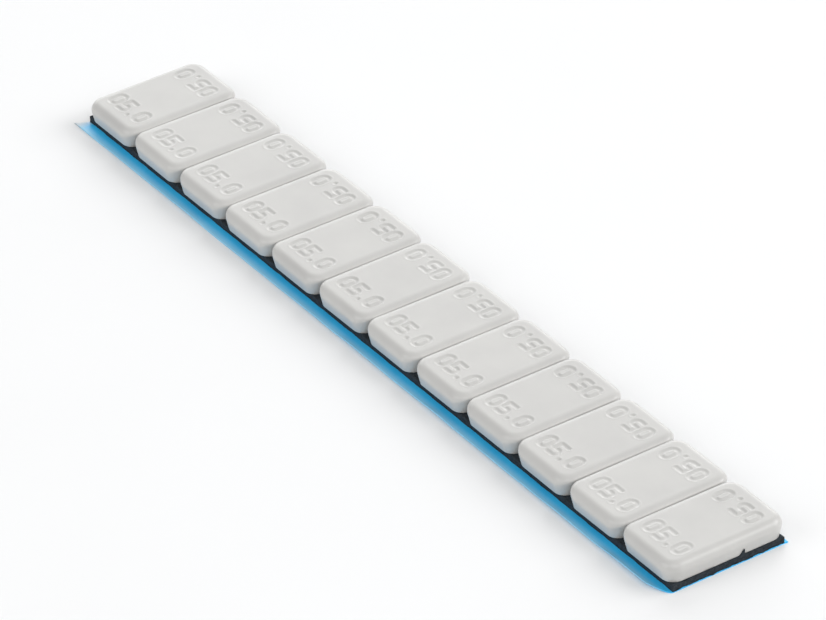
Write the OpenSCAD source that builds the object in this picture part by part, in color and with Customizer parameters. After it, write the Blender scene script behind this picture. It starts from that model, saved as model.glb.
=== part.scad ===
// Adhesive wheel balance weight: a strip of steel segments on foam tape with a peel-off liner.
// X runs along the strip, Y across it and Z up. The origin is the middle of the strip's underside.

/* [Strip] */
// Number of segments in the strip
segments = 12; // [2:1:24]
// Distance from one segment to the next
pitch = 12; // [10.5:0.5:16]
// Gap between neighbouring segments
gap = 0.2; // [0.15:0.05:0.8]

/* [Segments] */
// Width of a segment across the strip, at its widest
segment_w = 19.5; // [14:0.5:26]
// Height of a segment above the tape
segment_h = 3.1; // [2.4:0.1:5]
// Radius of a segment's four upright corners
corner_r = 2.3; // [1.8:0.1:3.5]
// Radius of the rounded edge around a segment's top
edge_r = 1.3; // [0.5:0.1:1.6]
// Angle by which a segment's sides lean in towards its foot
lean = 12; // [0:1:16]

/* [Pressed numbers] */
// Height of the number pressed into each end of a segment
number_h = 3; // [2.4:0.1:3.6]
// Width of each digit
digit_w = 2; // [1.5:0.1:2.2]
// Gap between the first two digits
digit_gap = 0.4; // [0.2:0.1:0.6]
// Width of the number's strokes
stroke_w = 0.5; // [0.3:0.05:0.7]
// Depth that the number is pressed in
number_d = 0.25; // [0.1:0.05:0.6]
// Flat land left at each side of the number
number_side = 0.5; // [0.2:0.1:1]
// Flat land left below the number's foot, which faces the segment's end
number_foot = 1.2; // [0.2:0.1:1.6]

/* [Tape and liner] */
// How far each long edge of the foam tape lies inside a segment's widest line
tape_inset = 0.6; // [0:0.05:0.8]
// Thickness of the foam tape
tape_t = 1; // [0.6:0.05:2]
// How far the tape reaches past the last segment at each end
tape_ledge = 0; // [0:0.1:1]
// Thickness of the release liner
liner_t = 0.12; // [0.08:0.01:0.3]
// How far the liner reaches past the tape at each end
liner_ledge = 0.15; // [0:0.05:1]
// Width of the pull flap that the liner forms along one side
flap_w = 2; // [1:0.25:5]
// How far the liner reaches past the tape on the other side
liner_edge = 0.6; // [0:0.1:2]
// Length of the cut-back corner at the near end of the flap
flap_cut = 3.6; // [1:0.2:6]
// How far the flap's pointed corner reaches out at the far end
flap_tip = 1; // [0:0.1:2]

/* [Hidden] */
function node_name(i) = str("weight_", i < 10 ? "0" : "", i);

segment_l = pitch - gap;
tape_l = (segments - 1) * pitch + segment_l + 2 * tape_ledge;
tape_w = segment_w - 2 * tape_inset;
tape_z = liner_t;
segment_z = tape_z + tape_t;

// The number fills the length of a segment's flat top, with its point midway before the last digit
number_l = segment_l - 2 * (edge_r + number_side);
number_y = segment_w / 2 - edge_r - number_foot - number_h / 2;
second_x = digit_w + digit_gap;
last_x = number_l - digit_w;
point_x = (second_x + digit_w + last_x - stroke_w) / 2;

// A segment laid by hand is turned a little, by less than the gap allows
turn_max = atan(gap / (2 * segment_w));
golden = 137.5;
function turn(i) = turn_max * sin(golden * i);
function place_x(i) = (i - (segments + 1) / 2) * pitch;

$fn = 64;

// Right half of a block's section, half_w wide, on the X axis
module half_section(half_w) {
    middle = [half_w - edge_r, segment_h - edge_r];
    touch = middle + edge_r * [cos(lean), -sin(lean)];
    foot = [touch[0] - touch[1] * tan(lean), 0];
    intersection() {
        union() {
            polygon([[0, 0], foot, touch, middle, [middle[0], segment_h], [0, segment_h]]);
            translate(middle) circle(edge_r);
        }
        square([half_w, segment_h]);
    }
}

// Straight stretch of a block along X
module bar(width, length) {
    rotate([90, 0, 90]) linear_extrude(length, center = true) {
        half_section(width / 2);
        mirror([1, 0]) half_section(width / 2);
    }
}

// Steel block with upright round corners and a rounded top edge
module block() {
    bar(segment_w, segment_l - 2 * corner_r);
    rotate(90) bar(segment_l, segment_w - 2 * corner_r);
    for (x = [-1, 1], y = [-1, 1])
        translate([x * (segment_l / 2 - corner_r), y * (segment_w / 2 - corner_r), 0])
            rotate_extrude() half_section(corner_r);
}

// Digit 5, standing on the X axis from X = 0
module digit_five(width, height) {
    bowl_r = (height + stroke_w) / 4;
    translate([0, height - stroke_w]) square([width, stroke_w]);
    translate([0, height / 2 - stroke_w / 2]) square([stroke_w, height / 2 + stroke_w / 2]);
    translate([0, 2 * bowl_r - stroke_w]) square([width - bowl_r, stroke_w]);
    square([width - bowl_r, stroke_w]);
    intersection() {
        translate([width - bowl_r, bowl_r]) ring(bowl_r);
        translate([width - bowl_r, 0]) square([bowl_r, 2 * bowl_r]);
    }
}

// Digit 0, standing on the X axis from X = 0
module digit_zero(width, height) {
    difference() {
        slot(width, height);
        translate([stroke_w, stroke_w]) slot(width - 2 * stroke_w, height - 2 * stroke_w);
    }
}

module slot(width, height) {
    radius = width / 2;
    for (y = [radius, height - radius])
        translate([radius, y]) circle(radius);
    translate([0, radius]) square([width, height - 2 * radius]);
}

module ring(radius) {
    difference() {
        circle(radius);
        circle(radius - stroke_w);
    }
}

// The number, centred on the origin
module number_outline() {
    translate([-number_l / 2, -number_h / 2]) {
        digit_zero(digit_w, number_h);
        translate([second_x, 0]) digit_five(digit_w, number_h);
        translate([point_x, 0]) square(stroke_w);
        translate([last_x, 0]) digit_zero(digit_w, number_h);
    }
}

module weight(i) {
    color("gainsboro")
        translate([place_x(i), 0, segment_z]) rotate(turn(i))
            difference() {
                block();
                for (half_turn = [0, 180])
                    rotate(half_turn) translate([0, -number_y, segment_h - number_d])
                        linear_extrude(2 * number_d) number_outline();
            }
}

module foam_tape() {
    color("darkslategray")
        translate([-tape_l / 2, -tape_w / 2, tape_z]) cube([tape_l, tape_w, tape_t]);
}

// Film under the tape, with a pull flap on the -Y side
module release_liner() {
    end = tape_l / 2 + liner_ledge;
    flap_y = -tape_w / 2 - flap_w;
    edge_y = tape_w / 2 + liner_edge;
    color("steelblue") linear_extrude(liner_t)
        polygon([
            [-end - flap_tip, flap_y], [end - flap_cut, flap_y], [end, -tape_w / 2],
            [end, edge_y], [-end, edge_y], [-end, -tape_w / 2],
        ]);
}

for (i = [1 : segments])
    weight(i);
foam_tape();
release_liner();
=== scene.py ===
# Adhesive wheel balance weight: twelve coated steel segments on black foam tape, with a blue
# release liner. Everything is in metres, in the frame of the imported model.
import math

import bmesh
import bpy
import numpy as np
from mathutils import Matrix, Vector


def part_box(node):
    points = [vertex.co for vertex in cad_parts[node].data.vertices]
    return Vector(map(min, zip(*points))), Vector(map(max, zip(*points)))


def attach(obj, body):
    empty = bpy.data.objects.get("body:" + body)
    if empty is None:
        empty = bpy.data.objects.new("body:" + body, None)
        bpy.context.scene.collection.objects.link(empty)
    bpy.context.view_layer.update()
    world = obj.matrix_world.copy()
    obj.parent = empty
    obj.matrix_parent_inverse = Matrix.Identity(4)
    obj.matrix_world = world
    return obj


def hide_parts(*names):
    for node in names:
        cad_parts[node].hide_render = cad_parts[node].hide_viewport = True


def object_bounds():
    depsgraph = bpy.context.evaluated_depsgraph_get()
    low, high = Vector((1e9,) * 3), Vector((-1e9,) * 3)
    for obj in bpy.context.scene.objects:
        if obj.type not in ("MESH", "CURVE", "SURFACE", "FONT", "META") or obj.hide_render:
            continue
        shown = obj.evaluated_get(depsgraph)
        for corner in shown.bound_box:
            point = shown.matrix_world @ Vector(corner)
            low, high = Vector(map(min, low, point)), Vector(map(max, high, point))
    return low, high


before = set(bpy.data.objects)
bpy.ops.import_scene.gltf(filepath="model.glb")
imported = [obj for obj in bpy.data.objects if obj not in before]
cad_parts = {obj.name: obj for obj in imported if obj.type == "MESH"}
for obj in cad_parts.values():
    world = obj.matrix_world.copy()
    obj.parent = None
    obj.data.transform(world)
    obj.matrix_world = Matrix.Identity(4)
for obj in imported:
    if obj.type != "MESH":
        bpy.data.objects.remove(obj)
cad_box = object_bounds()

MM = 0.001

# Segment, in millimetres and degrees. INNER_DROP is the height of the rounded edge between
# neighbours, where it is lower than EDGE_R. TURN_STEP spreads the segments' small turns, as in the
# solids.
SEGMENTS = 12
PITCH = 12.0
GAP = 0.2
SEGMENT_W = 19.5
SEGMENT_H = 3.1
CORNER_R = 2.3
EDGE_R = 1.3
INNER_DROP = 0.6
FOOT_R = 0.15
LEAN = 12.0
TURN_STEP = 137.5
LEAN_SLOPE = math.tan(math.radians(LEAN))

# Pressed number, in millimetres. It is as deep as a random share of NUMBER_D, its walls slope over
# WALL_RUN to each side, and the metal rises in a lip around it.
NUMBER_H = 3.0
DIGIT_W = 2.0
DIGIT_GAP = 0.4
STROKE_W = 0.5
NUMBER_D = 0.25
NUMBER_SIDE = 0.5
NUMBER_FOOT = 1.2
DEPTH_SHARES = (0.42, 0.75)
WALL_RUN = 0.2
LIP_H = 0.02
LIP_OUT = 0.52
LIP_W = 0.12

# Spacing of the mesh, in millimetres, and its steps around each curve and down a side. Points
# nearer than TINY are one point.
FINE = 0.08
COARSE = 0.45
TINY = 0.001
ARC_STEPS = 14
FILLET_STEPS = 10
SIDE_STEPS = 5
FOOT_STEPS = 3

# Foam tape, in millimetres. Its near end is cut short, and a torn shred stands up there. Its walls
# are ragged, and its faces too up to RAGGED_INSET inside them, but the corners are even.
FOAM_STEP = 0.15
FOAM_END_STEP = 0.08
CUT_SHORT = 0.2
RAGGED = 0.06
RAGGED_END = 0.14
RAGGED_INSET = 0.2
EVEN_CORNER = 0.6
SHRED_Y = 2.5
SHRED_H = 1.0
SHRED_W = 0.9
SHRED_TEAR = 0.1
SHRED_UNEVEN = 0.3

# Rows of the foam's mesh, from its underside up the wall to its top: inset from the wall, share of
# the thickness, and 1 where the shred raises the row
FOAM_ROWS = [(1.2, 0, 0), (0.3, 0, 0)]
FOAM_ROWS += [(0.0, share, 0) for share in np.linspace(0, 1, 8)[:-1]]
FOAM_ROWS += [(0.0, 1, 1), (0.1, 1, 1), (0.25, 1, 0), (1.2, 1, 0)]

# Release liner, in millimetres. The flap lifts most at the near end, and its two ends curve.
LINER_T = 0.12
NEAR_LEDGE = 0.05
FLAP_CUT = 3.6
FLAP_TIP = 1.0
FLAP_LIFT = 0.35
FLAP_WAVE = 0.12
FAR_LIFT = 0.2
LIFT_UNEVEN = 0.3
CUT_CURVE = 1.6
TIP_CURVE = 1.3
LINER_COLUMNS = 400
LINER_ROWS = 14
FLAP_ROWS = 12

# Random waves: the longest and the shortest in millimetres, and how many
SHRED_WAVES = (0.9, 0.3, 4)
CUT_WAVES = (6, 0.5, 6)
END_WAVES = (3, 0.4, 6)
LIFT_WAVES = (60, 17, 4)
RIPPLE_WAVES = (23, 7, 4)

# Seeds of the random numbers
SEGMENT_SEED = 100
FOAM_SEED = 7
LINER_SEED = 11

# Colours: two that a surface varies between, or one
COAT_COLOURS = (0.558, 0.55, 0.533, 1), (0.592, 0.584, 0.563, 1)
FOAM_COLOURS = (0.012, 0.018, 0.024, 1), (0.03, 0.04, 0.05, 1)
FILM_COLOURS = (0.042, 0.50, 0.93, 1), (0.05, 0.56, 0.98, 1)
# Painted reflection: the film's colour towards the flap's free edge, paler where it would catch
# light from the floor
FILM_PAINTED_REFLECTION = (0.32, 0.68, 0.93, 1)
# Painted light: the film's far tip, whitened as if the white floor shone through the thin film
FILM_PAINTED_SEE_THROUGH = (0.56, 0.63, 0.68, 1)
FLOOR_COLOURS = (0.88, 0.88, 0.88, 1), (0.89, 0.89, 0.89, 1)
ROOM_COLOUR = (0.97, 0.985, 1.0, 1)

# Share of the flap's width over which its free edge is painted paler, a painted reflection, and
# where the painted light through its far tip starts and stops fading, as shares of FLAP_TIP
PAINTED_REFLECTION_SHARE = 0.7
SEE_THROUGH_SHARES = (0.6, 2.2)

# Camera: where the photograph was taken from and the near end of its view, in metres, and its line
# of sight. The lens and the sensor are in millimetres.
CAMERA_AT = Vector((0.600, -0.397, 0.487))
PHOTO_SIGHT = Vector((-0.6625, 0.494, -0.563))
LENS = 272.0
SENSOR_W = 36.0
CLIP_START = 0.05

# Soft lights: azimuth from +X and elevation in degrees, distance, width and height in metres, watts
LIGHTS = {
    "low_back": (147, 14, 1.6, 2.0, 0.6, 10.1),
    "back": (147, 40, 1.6, 1.2, 0.6, 3.3),
    "right": (58, 32, 1.6, 1.2, 0.9, 16.1),
    "left": (262, 30, 1.6, 1.2, 0.9, 7.7),
    "front": (-33, 50, 1.6, 1.2, 0.9, 6.5),
}

# Strength of the light from all around, and half the floor's width in metres
ROOM_LIGHT = 0.35
FLOOR_REACH = 3.0


def node_box(node):
    """A node's box in millimetres, as two arrays."""
    low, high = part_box(node)
    return np.array(low) / MM, np.array(high) / MM


def smooth_step(values, start, end):
    """0 up to start, 1 from end on, and a smooth rise between them."""
    t = np.clip((values - start) / (end - start), 0, 1)
    return t * t * (3 - 2 * t)


def waves(rng, places, longest, shortest, count):
    """Smooth random curve over places, between about -1 and 1, from a few sines."""
    lengths = np.geomspace(longest, shortest, count)
    weights = lengths / lengths.sum()
    phases = rng.uniform(0, 2 * math.pi, count)
    return sum(
        weight * np.sin(2 * math.pi * places / length + phase)
        for weight, length, phase in zip(weights, lengths, phases)
    )


def make_piece(name, points, faces, node, material):
    """Mesh object from points in millimetres, which stands for the named node."""
    mesh = bpy.data.meshes.new(name)
    mesh.from_pydata((points * MM).tolist(), [], faces)
    merged = bmesh.new()
    merged.from_mesh(mesh)
    bmesh.ops.remove_doubles(merged, verts=merged.verts, dist=TINY * MM)
    merged.to_mesh(mesh)
    merged.free()
    mesh.validate()
    mesh.shade_smooth()
    mesh.materials.append(material)
    piece = bpy.data.objects.new(name, mesh)
    bpy.context.scene.collection.objects.link(piece)
    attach(piece, "root")
    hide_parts(node)


def grid_faces(rows, size):
    """Faces of a grid of points that are stored row by row, with size points to a row."""
    starts = [row * size + k for row in range(rows - 1) for k in range(size - 1)]
    return [[a, a + size, a + size + 1, a + 1] for a in starts]


def join_loops(inner, outer):
    """Faces between two closed loops of indices, which may repeat a corner."""
    faces = []
    for k in range(len(inner)):
        n = (k + 1) % len(inner)
        face = [inner[k], outer[k], outer[n], inner[n]]
        faces.append(list(dict.fromkeys(face)))
    return [face for face in faces if len(face) > 2]


# Pressed number
def off_line(x, y, start, end):
    """Distance from each point to the line between two points."""
    (x0, y0), (x1, y1) = start, end
    dx, dy = x1 - x0, y1 - y0
    along = np.clip(((x - x0) * dx + (y - y0) * dy) / (dx * dx + dy * dy), 0, 1)
    return np.hypot(x - x0 - along * dx, y - y0 - along * dy)


def off_zero(x, y, left):
    """Distance to the centre line of a 0 that starts at X = left."""
    radius = (DIGIT_W - STROKE_W) / 2
    middle = left + DIGIT_W / 2
    low = STROKE_W / 2 + radius
    return np.abs(off_line(x, y, (middle, low), (middle, NUMBER_H - low)) - radius)


def off_five(x, y, left):
    """Distance to the centre line of a 5 that starts at X = left."""
    half = STROKE_W / 2
    bowl = (NUMBER_H - STROKE_W) / 4
    stem, right = left + half, left + DIGIT_W - half
    bend = right - bowl
    top, waist = NUMBER_H - half, half + 2 * bowl
    strokes = [
        ((stem, top), (right, top)),
        ((stem, top), (stem, waist)),
        ((stem, waist), (bend, waist)),
        ((stem, half), (bend, half)),
    ]
    nearest = np.min([off_line(x, y, *stroke) for stroke in strokes], axis=0)
    ring = np.abs(np.hypot(x - bend, y - half - bowl) - bowl)
    return np.where(x > bend, np.minimum(nearest, ring), nearest)


def off_number(x, y, length):
    """Distance to the centre lines of a number that stands on the X axis, from X = 0 to length."""
    second = DIGIT_W + DIGIT_GAP
    last = length - DIGIT_W
    point_x, point_y = (second + DIGIT_W + last) / 2, STROKE_W / 2
    return np.min([
        off_zero(x, y, 0),
        off_five(x, y, second),
        np.hypot(x - point_x, y - point_y),
        off_zero(x, y, last),
    ], axis=0)


def pressed(x, y, length, width, depths):
    """Height that the two pressed numbers add to a segment's flat top."""
    height = np.zeros_like(x)
    number_l = length - 2 * (EDGE_R + NUMBER_SIDE)
    foot = width / 2 - EDGE_R - NUMBER_FOOT
    for side, depth in zip((1, -1), depths):
        off = off_number(side * x + number_l / 2, side * y + foot, number_l)
        groove = smooth_step(off, STROKE_W / 2 - WALL_RUN, STROKE_W / 2 + WALL_RUN) - 1
        lip = np.exp(-(((off - LIP_OUT) / LIP_W) ** 2))
        height += depth * groove + LIP_H * lip
    return height


# Steel segment
def segment_rows(half_w):
    """Rows of the mesh from -half_w to half_w, fine where the numbers are pressed."""
    fine_from = half_w + CORNER_R - EDGE_R - NUMBER_FOOT - NUMBER_H - 2 * LIP_OUT
    coarse = np.linspace(0, fine_from, round(fine_from / COARSE) + 1)
    fine = np.linspace(fine_from, half_w, round((half_w - fine_from) / FINE) + 1)
    right = np.concatenate([coarse, fine[1:]])
    return np.concatenate([-right[:0:-1], right])


def segment_profile(drop):
    """Offset out from the core rectangle and height, from the flat top over the edge to the foot.

    The rounded edge is EDGE_R wide and drop high."""
    flat = CORNER_R - EDGE_R
    rows = [(out, SEGMENT_H) for out in np.linspace(0, flat, round(flat / FINE) + 1)[1:]]
    lowest = -math.atan(drop / EDGE_R * LEAN_SLOPE)
    for angle in np.linspace(math.pi / 2, lowest, FILLET_STEPS + 1)[1:]:
        rows.append((flat + EDGE_R * math.cos(angle), SEGMENT_H - drop * (1 - math.sin(angle))))
    out, high = rows[-1]
    for z in np.linspace(high, FOOT_R, SIDE_STEPS + 1)[1:]:
        rows.append((out - (high - z) * LEAN_SLOPE, z))
    side = rows[-1][0]
    for angle in np.linspace(0, math.pi / 2, FOOT_STEPS + 1)[1:]:
        rows.append((side - FOOT_R * (1 - math.cos(angle)), FOOT_R * (1 - math.sin(angle))))
    return np.array(rows)


def segment_ring(xs, ys, core_x, core_y, out):
    """One loop around the core rectangle, at a distance out from it."""
    arc = np.linspace(0, math.pi / 2, ARC_STEPS + 1)[1:-1]
    sides = [
        (np.full_like(ys, core_x + out), ys, (core_x, core_y)),
        (xs[::-1], np.full_like(xs, core_y + out), (-core_x, core_y)),
        (np.full_like(ys, -core_x - out), ys[::-1], (-core_x, -core_y)),
        (xs, np.full_like(xs, -core_y - out), (core_x, -core_y)),
    ]
    loop = []
    for quarter, (side_x, side_y, corner) in enumerate(sides):
        angles = arc + quarter * math.pi / 2
        loop.append(np.column_stack([side_x, side_y]))
        loop.append(corner + out * np.column_stack([np.cos(angles), np.sin(angles)]))
    return np.concatenate(loop)


def core_loop(columns, rows):
    """Indices of the core grid's border, in the order of segment_ring."""
    grid = np.arange(columns * rows).reshape(columns, rows)
    loop = []
    for side in (grid[-1], grid[::-1, -1], grid[0, ::-1], grid[:, 0]):
        loop += side.tolist() + [side[-1].item()] * (ARC_STEPS - 1)
    return loop


def segment_mesh(rng, length, width, drops):
    """Points and faces of one segment, centred on the origin and standing on Z = 0.

    The drops are the heights of the rounded edge on the left (-X) and on the right (+X) side."""
    core_x, core_y = length / 2 - CORNER_R, width / 2 - CORNER_R
    xs = np.linspace(-core_x, core_x, round(2 * core_x / FINE) + 1)
    ys = segment_rows(core_y)
    grid_x, grid_y = np.meshgrid(xs, ys, indexing="ij")
    points = [np.column_stack([grid_x.ravel(), grid_y.ravel(), np.full(grid_x.size, SEGMENT_H)])]
    faces = grid_faces(len(xs), len(ys))
    inner = core_loop(len(xs), len(ys))
    start = grid_x.size
    core = segment_ring(xs, ys, core_x, core_y, 0)
    outward = segment_ring(xs, ys, core_x, core_y, 1) - core
    # Around a corner, the profile of the end blends into that of the side
    side = outward[:, :1] ** 2
    is_left = outward[:, :1] < 0
    profiles = [segment_profile(drop) for drop in (EDGE_R, *drops)]
    for end_row, left_row, right_row in zip(*profiles):
        row = (1 - side) * end_row + side * np.where(is_left, left_row, right_row)
        points.append(np.column_stack([core + outward * row[:, :1], row[:, 1]]))
        outer = list(range(start, start + len(core)))
        faces += join_loops(inner, outer)
        inner = outer
        start += len(core)
    faces.append(inner[::-1])
    points = np.concatenate(points)

    depths = NUMBER_D * rng.uniform(*DEPTH_SHARES, 2)
    top = points[:, 2] > SEGMENT_H - TINY
    x, y = points[top, 0], points[top, 1]
    points[top, 2] += pressed(x, y, length, width, depths)
    return points, faces


def make_weight(i, material):
    """Segment i, turned and placed as its solid is."""
    node = f"weight_{i:02d}"
    low, high = node_box(node)
    turn = math.atan(GAP / (2 * SEGMENT_W)) * math.sin(math.radians(TURN_STEP * i))
    rng = np.random.default_rng(SEGMENT_SEED + i)
    drops = (EDGE_R if i == 1 else INNER_DROP, EDGE_R if i == SEGMENTS else INNER_DROP)
    points, faces = segment_mesh(rng, PITCH - GAP, SEGMENT_W, drops)
    x, y = points[:, 0].copy(), points[:, 1].copy()
    points[:, 0] = x * math.cos(turn) - y * math.sin(turn) + (low[0] + high[0]) / 2
    points[:, 1] = x * math.sin(turn) + y * math.cos(turn) + (low[1] + high[1]) / 2
    points[:, 2] += low[2]
    make_piece(f"segment_{i:02d}", points, faces, node, material)


# Foam tape
def shred_height(rng, y):
    """Height of the torn shred along the near end, which rises slowly and ends abruptly."""
    rise = smooth_step(y, SHRED_Y - SHRED_W, SHRED_Y)
    fade_out = 1 - smooth_step(y, SHRED_Y, SHRED_Y + SHRED_TEAR)
    return SHRED_H * rise * fade_out * (1 + SHRED_UNEVEN * waves(rng, y, *SHRED_WAVES))


def foam_loop(low, high):
    """Points around the tape, counter-clockwise from its far corner on the -Y side."""
    along_x = np.linspace(low[0], high[0], round((high[0] - low[0]) / FOAM_STEP) + 1)
    along_y = np.linspace(low[1], high[1], round((high[1] - low[1]) / FOAM_END_STEP) + 1)
    loop = [(x, low[1]) for x in along_x[:-1]] + [(high[0], y) for y in along_y[:-1]]
    loop += [(x, high[1]) for x in along_x[:0:-1]] + [(low[0], y) for y in along_y[:0:-1]]
    return np.array(loop)


def make_foam(material):
    """Foam strip with knife-cut edges, ragged at its near end, where a shred stands up."""
    low, high = node_box("foam_tape")
    high[0] -= CUT_SHORT
    rng = np.random.default_rng(FOAM_SEED)
    loop = foam_loop(low, high)
    # For each point: its place from the middle, its depth inside the walls, its way out, and its
    # distance to the nearest corner and around the tape
    offset = loop - (low + high)[:2] / 2
    inward = (high - low)[:2] / 2 - np.abs(offset)
    at_side = inward[:, 1] < TINY
    near_end = ~at_side & (offset[:, 0] > 0)
    outward = np.where(at_side[:, None], [0, 1], [1, 0]) * np.sign(offset)
    to_corner = np.where(at_side, inward[:, 0], inward[:, 1])
    distance = np.concatenate([[0], np.cumsum(np.hypot(*np.diff(loop, axis=0).T))])
    shred = np.where(near_end, shred_height(rng, loop[:, 1]), 0)

    points = []
    for inset, share, raised in FOAM_ROWS:
        rise = raised * shred
        out = rise * LEAN_SLOPE
        if inset < RAGGED_INSET:
            ragged = RAGGED * waves(rng, distance, *CUT_WAVES) - RAGGED / 2
            ragged += near_end * RAGGED_END * waves(rng, distance, *END_WAVES)
            out += ragged * smooth_step(to_corner, 0, EVEN_CORNER)
        ring = np.clip(loop, low[:2] + inset, high[:2] - inset) + outward * out[:, None]
        points.append(np.column_stack([ring, low[2] + share * (high[2] - low[2]) + rise]))
    count = len(loop)
    loops = [list(range(row * count, (row + 1) * count)) for row in range(len(points))]
    faces = [face for below, above in zip(loops, loops[1:]) for face in join_loops(above, below)]
    faces += [loops[0][::-1], loops[-1]]
    make_piece("foam_strip", np.concatenate(points), faces, "foam_tape", material)


# Release liner
def liner_top(rng, low, high, foam_low, foam_high):
    """Rows of points on the film's upper face, from its +Y edge to the flap's free edge."""
    near, far = foam_high[0] - CUT_SHORT + NEAR_LEDGE, low[0] + FLAP_TIP
    t = np.linspace(0, 1, LINER_COLUMNS + 1)
    along = far + (near - far) * t
    lift = FAR_LIFT + (1 - FAR_LIFT) * t + LIFT_UNEVEN * waves(rng, along, *LIFT_WAVES)
    rise = FLAP_LIFT * lift + FLAP_WAVE * waves(rng, along, *RIPPLE_WAVES)
    rows = [
        np.column_stack([along, np.full_like(t, y), np.full_like(t, LINER_T)])
        for y in np.linspace(high[1], foam_low[1], LINER_ROWS)
    ]
    for step in range(1, FLAP_ROWS + 1):
        s = step / FLAP_ROWS
        near_x = near - FLAP_CUT * s ** CUT_CURVE
        far_x = far - FLAP_TIP * s ** TIP_CURVE
        x = far_x + (near_x - far_x) * t
        y = foam_low[1] - (foam_low[1] - low[1]) * s
        rows.append(np.column_stack([x, np.full_like(t, y), LINER_T + rise * s * s]))
    return rows


def make_liner(material):
    """Film under the foam, with a flap that lifts a little along the -Y side."""
    rng = np.random.default_rng(LINER_SEED)
    top_rows = liner_top(rng, *node_box("release_liner"), *node_box("foam_tape"))
    top = np.concatenate(top_rows)
    bottom = top - [0, 0, LINER_T]
    faces = []
    for face in grid_faces(len(top_rows), LINER_COLUMNS + 1):
        faces += [face, [v + len(top) for v in reversed(face)]]
    grid = np.arange(len(top)).reshape(len(top_rows), -1)
    border = np.concatenate([grid[0], grid[1:, -1], grid[-1, -2::-1], grid[-2:0:-1, 0]]).tolist()
    faces += join_loops([v + len(top) for v in border], border)
    points = np.concatenate([top, bottom])
    make_piece("liner_sheet", points, faces, "release_liner", material)


# Materials
def new_material(name, **sockets):
    """Principled material with uniform values set on its own sockets."""
    material = bpy.data.materials.new(name)
    material.use_nodes = True
    shader = material.node_tree.nodes["Principled BSDF"]
    for socket, value in sockets.items():
        shader.inputs[socket].default_value = value
    return material, material.node_tree, shader


def add_node(tree, kind, inputs=None, **settings):
    """New node with its settings and its input values or links."""
    node = tree.nodes.new(kind)
    for key, value in settings.items():
        setattr(node, key, value)
    for key, value in (inputs or {}).items():
        if isinstance(value, bpy.types.NodeSocket):
            tree.links.new(value, node.inputs[key])
        else:
            node.inputs[key].default_value = value
    return node


def feed(tree, shader, outputs):
    """Links each output to the shader's socket of the given name."""
    for socket, output in outputs.items():
        tree.links.new(output, shader.inputs[socket])


def object_place(tree):
    return add_node(tree, "ShaderNodeTexCoord").outputs["Object"]


def noise(tree, size_mm, detail=3.0):
    """Noise over the object's own coordinates, with features of the given size."""
    inputs = {"Vector": object_place(tree), "Scale": 1 / (size_mm * MM), "Detail": detail}
    return add_node(tree, "ShaderNodeTexNoise", inputs).outputs["Fac"]


def in_range(tree, value, low, high, start=0.3, end=0.7):
    """Maps a value between start and end to low and high."""
    ends = {"From Min": start, "From Max": end, "To Min": low, "To Max": high}
    return add_node(tree, "ShaderNodeMapRange", {"Value": value, **ends}).outputs["Result"]


def mix(tree, factor, first, second):
    """Mixes two colours. Several sockets of the node share a name, so they go by number."""
    node = add_node(tree, "ShaderNodeMix", {0: factor, 6: first, 7: second}, data_type="RGBA")
    return node.outputs[2]


def varied(tree, colours, size_mm, detail=3.0):
    """Colour that varies between two colours, in patches of the given size."""
    return mix(tree, in_range(tree, noise(tree, size_mm, detail), 0, 1), *colours)


def bump(tree, height, depth_mm, strength=1.0):
    inputs = {"Height": height, "Strength": strength, "Distance": depth_mm * MM}
    return add_node(tree, "ShaderNodeBump", inputs).outputs["Normal"]


def coat_material():
    """Pale grey baked coating over steel: even, faintly orange-peeled, half gloss."""
    material, tree, shader = new_material("pale_grey_coat", IOR=1.5)
    base = varied(tree, COAT_COLOURS, size_mm=6)
    rough = in_range(tree, noise(tree, size_mm=5, detail=1.0), low=0.285, high=0.34)
    peel = bump(tree, noise(tree, size_mm=1.1, detail=1.0), depth_mm=0.0025)
    feed(tree, shader, {"Base Color": base, "Roughness": rough, "Normal": peel})
    return material


def foam_material():
    """Black closed-cell foam with small cut cells."""
    material, tree, shader = new_material("black_foam", Roughness=0.92, IOR=1.45)
    base = varied(tree, FOAM_COLOURS, size_mm=0.5, detail=4.0)
    cell_mm = 0.22
    inputs = {"Vector": object_place(tree), "Scale": 1 / (cell_mm * MM)}
    cells = add_node(tree, "ShaderNodeTexVoronoi", inputs).outputs["Distance"]
    height = in_range(tree, cells, low=0, high=1, start=0.05, end=0.6)
    pits = bump(tree, height, depth_mm=0.08, strength=0.8)
    feed(tree, shader, {"Base Color": base, "Normal": pits})
    return material


def film_material():
    """Blue release film, glossy. A painted reflection makes it paler along the flap's free edge and
    leaves it deeper towards the tape. Painted light whitens its far tip, as if light shone through
    the thin film."""
    material, tree, shader = new_material("blue_film", IOR=1.5)
    low = node_box("release_liner")[0]
    flap_w = node_box("foam_tape")[0][1] - low[1]
    painted_reflection_end = (low[1] + PAINTED_REFLECTION_SHARE * flap_w) * MM
    see_through_start, see_through_end = ((low[0] + share * FLAP_TIP) * MM for share in SEE_THROUGH_SHARES)
    place = add_node(tree, "ShaderNodeSeparateXYZ", {"Vector": object_place(tree)})
    # Painted reflection: paler towards the flap's free edge, standing in for light the film
    # reflects there
    painted_reflection = in_range(tree, place.outputs["Y"], low=1, high=0, start=low[1] * MM, end=painted_reflection_end)
    # Painted light: whiter at the far tip, as if light shone through the thin film there
    fade_out = in_range(tree, place.outputs["X"], low=1, high=0, start=see_through_start, end=see_through_end)
    blue = varied(tree, FILM_COLOURS, size_mm=5)
    base = mix(tree, fade_out, mix(tree, painted_reflection, blue, FILM_PAINTED_REFLECTION), FILM_PAINTED_SEE_THROUGH)
    rough = in_range(tree, noise(tree, size_mm=2.5, detail=4.0), low=0.285, high=0.36)
    creases = bump(tree, noise(tree, size_mm=3), depth_mm=0.03)
    feed(tree, shader, {"Base Color": base, "Roughness": rough, "Normal": creases})
    return material


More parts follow.
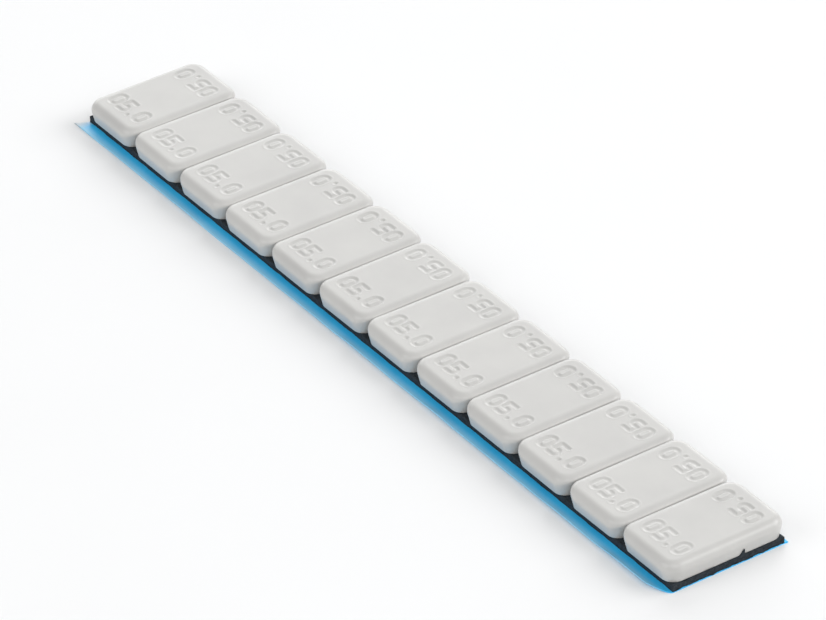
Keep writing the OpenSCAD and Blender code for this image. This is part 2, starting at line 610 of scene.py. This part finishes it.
def floor_material():
    material, tree, shader = new_material("pale_floor", Roughness=0.6)
    feed(tree, shader, {"Base Color": varied(tree, FLOOR_COLOURS, size_mm=40)})
    return material


# Studio
def make_floor():
    mesh = bpy.data.meshes.new("floor")
    corners = [(-1, -1), (1, -1), (1, 1), (-1, 1)]
    points = [(x * FLOOR_REACH, y * FLOOR_REACH, 0) for x, y in corners]
    mesh.from_pydata(points, [], [(0, 1, 2, 3)])
    mesh.materials.append(floor_material())
    floor = bpy.data.objects.new("floor", mesh)
    bpy.context.scene.collection.objects.link(floor)


def soft_light(name, azimuth, elevation, distance, width, height, watts):
    """Area light that faces the origin from the given direction."""
    data = bpy.data.lights.new(name, "AREA")
    data.shape = "RECTANGLE"
    data.size, data.size_y = width, height
    data.energy = watts
    light = bpy.data.objects.new(name, data)
    turn, rise = math.radians(azimuth), math.radians(elevation)
    flat = distance * math.cos(rise)
    light.location = (flat * math.cos(turn), flat * math.sin(turn), distance * math.sin(rise))
    light.rotation_mode = "QUATERNION"
    light.rotation_quaternion = (-light.location).to_track_quat("-Z", "Y")
    bpy.context.scene.collection.objects.link(light)


def make_world():
    world = bpy.data.worlds.new("pale_room")
    world.use_nodes = True
    back = world.node_tree.nodes["Background"]
    back.inputs["Color"].default_value = ROOM_COLOUR
    back.inputs["Strength"].default_value = ROOM_LIGHT
    bpy.context.scene.world = world


def make_camera():
    """Camera at the photograph's place, turned without roll from its line of sight to the strip."""
    data = bpy.data.cameras.new("camera")
    data.sensor_width = SENSOR_W
    data.lens = LENS
    data.clip_start = CLIP_START
    camera = bpy.data.objects.new("camera", data)
    low, high = cad_box
    sight = (Vector(low) + Vector(high)) / 2 - CAMERA_AT
    turn = PHOTO_SIGHT.rotation_difference(sight)
    camera.location = CAMERA_AT
    camera.rotation_mode = "QUATERNION"
    camera.rotation_quaternion = turn @ PHOTO_SIGHT.to_track_quat("-Z", "Y")
    bpy.context.scene.collection.objects.link(camera)
    bpy.context.scene.camera = camera


def main():
    bpy.context.scene.view_settings.view_transform = "Standard"
    make_camera()
    make_world()
    make_floor()
    for name, setting in LIGHTS.items():
        soft_light(name, *setting)

    coat = coat_material()
    for i in range(1, SEGMENTS + 1):
        make_weight(i, coat)
    make_foam(foam_material())
    make_liner(film_material())


main()
